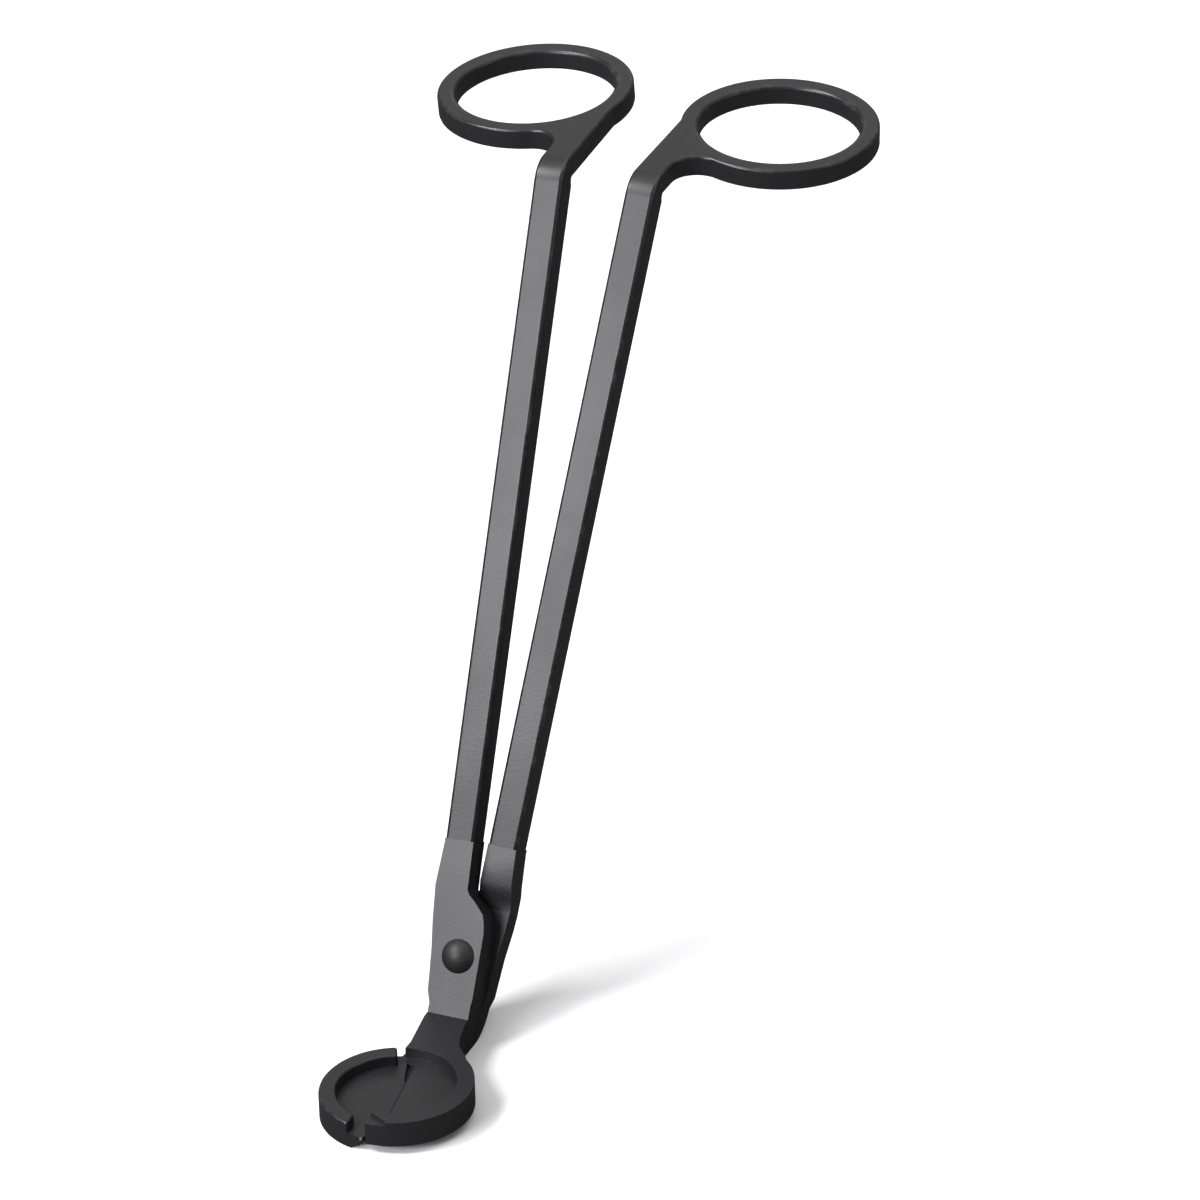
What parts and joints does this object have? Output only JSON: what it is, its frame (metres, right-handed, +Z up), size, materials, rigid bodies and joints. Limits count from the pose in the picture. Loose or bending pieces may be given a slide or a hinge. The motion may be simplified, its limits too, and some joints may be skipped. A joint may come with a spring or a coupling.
{
  "type": "wick trimmer",
  "caption": "Black wick trimmer: crossed levers on a domed rivet, a split round cutting tray at the bottom and finger loops at the top.",
  "frame": {"origin": "centre of the round tray at its flat underside", "axes": "+Z up from the tray's flat underside, +Y back from the tray towards the finger loops, +X to the right seen from the tray"},
  "size_m": [0.0734, 0.1401, 0.1273],
  "materials": {
    "black_paint": "satin black coat on forged steel",
    "black_rivet": "glossier black coat on steel"
  },
  "bodies": {
    "rear_lever": {"right_handle": "black_paint", "lower_jaw": "black_paint", "lower_rim": "black_paint", "pivot_rivet": "black_rivet", "rivet_washer": "black_rivet"},
    "front_lever": {"left_handle": "black_paint", "upper_jaw": "black_paint"}
  },
  "joints": [
    {"name": "lever_pivot", "type": "hinge", "parent": "rear_lever", "child": "front_lever", "pos_m": [0, 0.0285, 0.01206], "axis": [0, -0.8796, 0.4756], "range_deg": [0, 22]}
  ]
}
